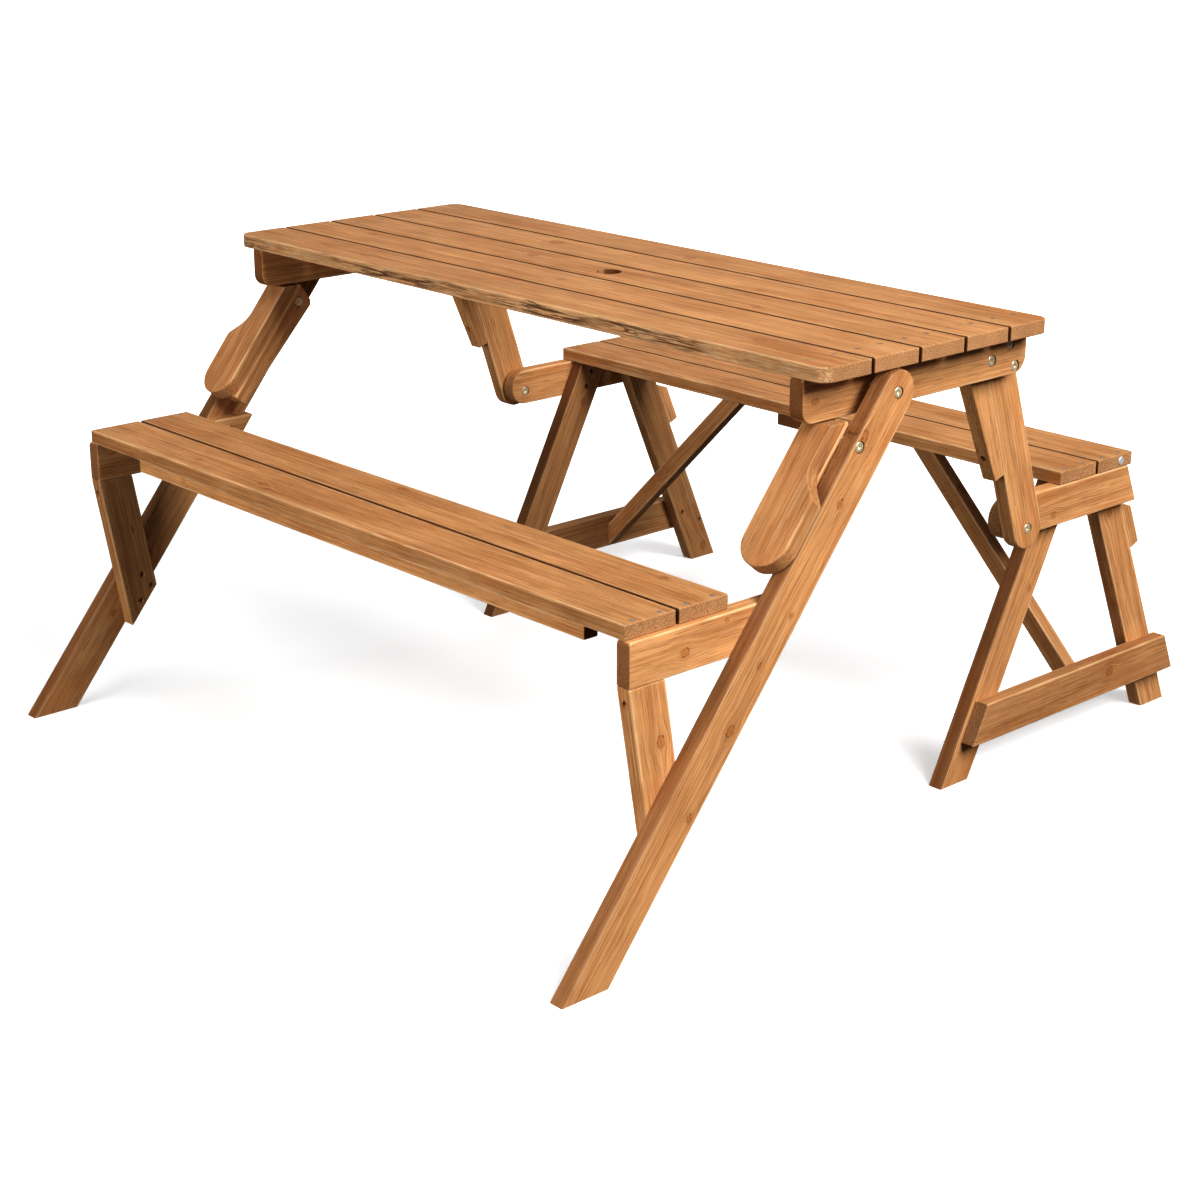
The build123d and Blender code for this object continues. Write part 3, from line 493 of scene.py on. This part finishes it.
    relief = 0.0
    for pattern, height in (
        (fine, 0.45),
        (thin, 0.30),
        (late, 0.25),
        (graph.multiply(pores, given["End"]), 0.8),
        (graph.multiply(flames, given["Waney"]), 3.0),
        (given["Rim"], -0.5),
    ):
        relief = graph.add(relief, graph.multiply(pattern, height))
    graph.feed(result["Height"], relief)
    return graph.tree


def stem_of(node_name):
    """Name of a board without its side."""
    return node_name.removesuffix("_right").removesuffix("_left")


def grain_axes(node_name):
    """Directions along the grain and across the board."""
    stem = stem_of(node_name)
    if stem == "rear_brace":
        side = 1 if node_name.endswith("_right") else -1
        slope = math.radians(BRACE_SLOPE)
        return Vector((side * math.cos(slope), 0, math.sin(slope))), Vector((0, 1, 0))
    if stem in SIDE_FRAME_SLOPES:
        slope = math.radians(SIDE_FRAME_SLOPES[stem])
        along = Vector((0, math.cos(slope), math.sin(slope)))
        if stem in ("armrest", "rear_seat_batten"):
            return along, Vector((1, 0, 0))
        return along, Vector((0, -along.z, along.y))
    return Vector((1, 0, 0)), Vector((0, 1, 0))


def board_frame(node):
    """Directions, centre and half size of a board: X along the grain, Y across it, Z through it."""
    along, across = grain_axes(node.name)
    through = along.cross(across)
    turn = Matrix((along, across, through)).transposed()
    corners = [turn.transposed() @ vertex.co for vertex in node.data.vertices]
    low = Vector([min(corner[axis] for corner in corners) for axis in range(3)])
    high = Vector([max(corner[axis] for corner in corners) for axis in range(3)])
    return turn, turn @ ((low + high) / 2), (high - low) / 2


def board_tone_with_painted_light(node_name):
    """How light a board is drawn: the tone of its stain, with painted shade on some boards and painted
    light on others.
    """
    usual = SLAT_TONE if "slat" in node_name else FRAME_TONE
    return BOARD_TONES_WITH_PAINTED_LIGHT.get(node_name, usual)


def random_knots(dice, half):
    """A few small knots spread along a board."""
    count = int(half.x * 2 / KNOT_SPACING + dice.random())
    knots = []
    for _ in range(count):
        along = dice.uniform(-KNOT_SPREAD[0], KNOT_SPREAD[0]) * half.x
        across = dice.uniform(-KNOT_SPREAD[1], KNOT_SPREAD[1]) * half.y
        knots.append((along, across, dice.uniform(*KNOT_RADII)))
    return knots


def board_knots(node_name, dice, turn, centre, half):
    """Knots of a board, as places along and across it with a radius."""
    if node_name not in BOARD_KNOTS:
        return random_knots(dice, half)
    knots = []
    for x, y, z, radius in BOARD_KNOTS[node_name]:
        place = turn.transposed() @ (Vector((x, y, z)) - centre)
        knots.append((place.x, place.y, radius))
    return knots


def side_mask(graph, normal, across, sides):
    """Strength on each given side of a board, -1 for the side before it and 1 for the side after it."""
    facing = graph.dot(normal, tuple(across))
    mask = 0.0
    for side, strength in sides.items():
        shown = graph.ramp(graph.multiply(facing, side), *SIDE_FADE, 0.0, strength)
        mask = graph.math("MAXIMUM", shown, mask)
    return mask


def edge_wear_and_highlight_mask(graph, local, half):
    """One along the long eased edges of a board, fading out a few millimetres away."""
    place = graph.split(graph.vector("ABSOLUTE", local))
    across = graph.ramp(place[1], half.y - EDGE_WEAR_AND_HIGHLIGHT_START, half.y - EDGE_WEAR_AND_HIGHLIGHT_FULL)
    through = graph.ramp(place[2], half.z - EDGE_WEAR_AND_HIGHLIGHT_START, half.z - EDGE_WEAR_AND_HIGHLIGHT_FULL)
    return graph.multiply(across, through)


def wood_material(node, groups):
    """Softwood for one board, with its own pith, rings, knots and tone."""
    dice = random.Random(node.name)
    turn, centre, half = board_frame(node)
    material, graph, shader = new_material(f"Softwood {node.name}")

    coordinates = graph.node("ShaderNodeTexCoord")
    normal = coordinates.outputs["Normal"]
    mapping = graph.node("ShaderNodeMapping", vector_type="TEXTURE")
    graph.feed(mapping.inputs["Vector"], coordinates.outputs["Object"])
    mapping.inputs["Location"].default_value = centre
    mapping.inputs["Rotation"].default_value = turn.to_euler()
    plain = mapping.outputs[0]

    bent = plain
    marks = {"Heart": 0.0, "Rim": 0.0, "Rings": 0.0}
    for along, across, radius in board_knots(node.name, dice, turn, centre, half):
        knot = graph.node("ShaderNodeGroup", node_tree=groups["knot"])
        graph.feed(knot.inputs["Vector"], bent)
        knot.inputs["Centre"].default_value = (along, across, 0)
        knot.inputs["Radius"].default_value = radius
        bent = knot.outputs["Vector"]
        for name in marks:
            marks[name] = graph.math("MAXIMUM", knot.outputs[name], marks[name])

    facing_end = graph.math("ABSOLUTE", graph.dot(normal, tuple(turn.col[0])))
    pith_offset = dice.uniform(*PITH_OFFSETS) * half.y
    pith_depth = dice.choice((-1, 1)) * dice.uniform(*PITH_DEPTHS)
    settings = {
        "Vector": bent,
        "Plain Vector": plain,
        "Pith": (0, pith_offset, pith_depth),
        "Tilt": dice.uniform(*PITH_TILTS),
        "Ring Width": dice.uniform(*RING_WIDTHS),
        "Contrast": dice.uniform(*RING_CONTRASTS),
        "Seed": dice.uniform(*SEEDS),
        "Tone": board_tone_with_painted_light(node.name) * dice.uniform(*TONE_SPREAD),
        "End": graph.ramp(facing_end, *END_FADE),
        "End Stain": END_STAIN.get(stem_of(node.name), USUAL_END_STAIN),
        "Edge": edge_wear_and_highlight_mask(graph, plain, half),
        "Side Stain": side_mask(graph, normal, turn.col[1], SIDE_PAINTED_SHADE.get(node.name, {})),
        "Waney": side_mask(graph, normal, turn.col[1], WANEY_SIDES.get(node.name, {})),
    }
    settings.update(marks)
    wood = graph.node("ShaderNodeGroup", node_tree=groups["wood"])
    for name, value in settings.items():
        graph.feed(wood.inputs[name], value)

    graph.feed(shader.inputs["Base Color"], wood.outputs["Color"])
    graph.feed(shader.inputs["Roughness"], wood.outputs["Roughness"])
    shader.inputs["Specular IOR Level"].default_value = WOOD_SPECULAR
    add_bump(graph, shader, wood.outputs["Height"], WOOD_BUMP_STRENGTH, WOOD_BUMP_DEPTH)
    return material


# ---------------------------------------------------------------- metal

def metal_material(name, colour, dull, roughness):
    """Plated steel with cloudy plating, faint scratches and tarnish."""
    material, graph, shader = new_material(name)
    place = graph.node("ShaderNodeTexCoord").outputs["Object"]
    cloud = graph.noise(graph.scale(place, PLATING_CLOUD_SCALE), 3.0, 0.6)
    scratch = graph.noise(graph.vector("MULTIPLY", place, PLATING_SCRATCH_SCALE))
    graph.feed(shader.inputs["Base Color"], graph.mix(graph.ramp(cloud, 0.35, 0.7), colour, dull))
    rough = graph.math("MULTIPLY_ADD", graph.add(cloud, scratch), 0.16, roughness)
    graph.feed(shader.inputs["Roughness"], rough)
    shader.inputs["Metallic"].default_value = PLATING_METALLIC
    add_bump(graph, shader, scratch, METAL_BUMP_STRENGTH, METAL_BUMP_DEPTH)
    return material


# ---------------------------------------------------------------- stage

def add_camera():
    """Camera at the place, angle and focal length of the photo."""
    azimuth = math.radians(CAMERA_AZIMUTH)
    elevation = math.radians(CAMERA_ELEVATION)
    roll = math.radians(CAMERA_ROLL)
    outward = Vector((math.sin(azimuth), -math.cos(azimuth), 0))
    back = outward * math.cos(elevation) + Vector((0, 0, math.sin(elevation)))
    right = Vector((math.cos(azimuth), math.sin(azimuth), 0))
    up = back.cross(right)
    turned_right = right * math.cos(roll) + up * math.sin(roll)
    turned_up = up * math.cos(roll) - right * math.sin(roll)
    data = bpy.data.cameras.new("Camera")
    data.lens = LENS_MM
    data.sensor_width = SENSOR_MM
    data.shift_x, data.shift_y = LENS_SHIFT
    camera = bpy.data.objects.new("Camera", data)
    turn = Matrix((turned_right, turned_up, back)).transposed()
    camera.matrix_world = Matrix.Translation(CAMERA_PLACE) @ turn.to_4x4()
    bpy.context.scene.collection.objects.link(camera)
    bpy.context.scene.camera = camera


def add_softbox(name, place, aim, size, watts, glossy):
    """Rectangular light turned towards a point."""
    data = bpy.data.lights.new(name, "AREA")
    data.shape = "RECTANGLE"
    data.size, data.size_y = size
    data.energy = watts
    light = bpy.data.objects.new(name, data)
    light.location = place
    light.visible_glossy = glossy
    light.rotation_euler = (Vector(aim) - Vector(place)).to_track_quat("-Z", "Y").to_euler()
    bpy.context.scene.collection.objects.link(light)


def add_floor():
    """Large white studio floor. Its bounce is left out, as in a cut-out product picture."""
    bpy.ops.mesh.primitive_plane_add(size=FLOOR_SIZE, location=(0, 0, 0))
    floor = bpy.context.object
    floor.name = "Studio_floor"
    floor.visible_diffuse = False
    floor.visible_glossy = False
    material, graph, shader = new_material("Studio floor")
    shader.inputs["Base Color"].default_value = SET_COLOUR
    shader.inputs["Roughness"].default_value = SET_ROUGHNESS
    distance = graph.length(graph.node("ShaderNodeTexCoord").outputs["Object"])
    glow = graph.mix(graph.ramp(distance, *FLOOR_GLOW_REACH), FLOOR_GLOW_NEAR, WHITE)
    graph.feed(shader.inputs["Emission Color"], glow)
    shader.inputs["Emission Strength"].default_value = 1.0
    floor.data.materials.append(material)


def add_backdrop():
    """White wall far round the table. It lights nothing and throws no shadow."""
    bpy.ops.mesh.primitive_cylinder_add(
        vertices=96, radius=WALL_RADIUS, depth=WALL_HEIGHT, end_fill_type="NOTHING"
    )
    wall = bpy.context.object
    wall.name = "Studio_wall"
    wall.visible_diffuse = False
    wall.visible_glossy = False
    wall.visible_shadow = False
    material, graph, shader = new_material("Studio wall")
    shader.inputs["Base Color"].default_value = SET_COLOUR
    shader.inputs["Emission Color"].default_value = WHITE
    shader.inputs["Emission Strength"].default_value = WALL_GLOW
    wall.data.materials.append(material)


def add_world():
    """White studio, bright above and dim below."""
    world = bpy.data.worlds.new("Studio")
    bpy.context.scene.world = world
    world.use_nodes = True
    graph = Graph(world.node_tree)
    background = world.node_tree.nodes["Background"]
    height = graph.split(graph.node("ShaderNodeTexCoord").outputs["Generated"])[2]
    sky = graph.mix(graph.ramp(height, *WORLD_FADE), WORLD_BELOW, WHITE)
    graph.feed(background.inputs["Color"], sky)
    background.inputs["Strength"].default_value = WORLD_STRENGTH


def add_stage():
    """Floor, wall, world, lights and the way colours are shown."""
    add_floor()
    add_backdrop()
    add_world()
    for light in LIGHTS:
        add_softbox(*light)
    bpy.context.scene.view_settings.view_transform = "Standard"
    bpy.context.scene.view_settings.look = "Medium High Contrast"


# ---------------------------------------------------------------- whole scene

def dress(frame):
    """Gives every board and every fastener of the table its material."""
    groups = {"knot": make_knot_group(), "wood": make_wood_group()}
    zinc = metal_material("Yellow zinc", *YELLOW_ZINC)
    steel = metal_material("Dull zinc", *DULL_ZINC)
    nickel = metal_material("Bright nickel", *BRIGHT_NICKEL)
    metals = {"bolt_zinc": zinc, "washer_steel": steel, "screw_steel": steel, "tack_steel": nickel}
    slots = {part["node"]: part["material_slot"] for part in frame["record"]["subparts"]}
    for name, node in frame["nodes"].items():
        metal = metals.get(slots[name])
        node.material_slots[0].material = metal or wood_material(node, groups)


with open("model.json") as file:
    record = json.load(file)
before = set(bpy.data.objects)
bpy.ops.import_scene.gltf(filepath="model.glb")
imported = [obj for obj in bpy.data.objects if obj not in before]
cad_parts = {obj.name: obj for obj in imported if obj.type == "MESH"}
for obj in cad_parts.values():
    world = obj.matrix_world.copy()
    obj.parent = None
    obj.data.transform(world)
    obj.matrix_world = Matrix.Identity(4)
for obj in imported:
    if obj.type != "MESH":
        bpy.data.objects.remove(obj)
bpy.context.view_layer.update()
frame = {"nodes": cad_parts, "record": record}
add_camera()
add_stage()
dress(frame)
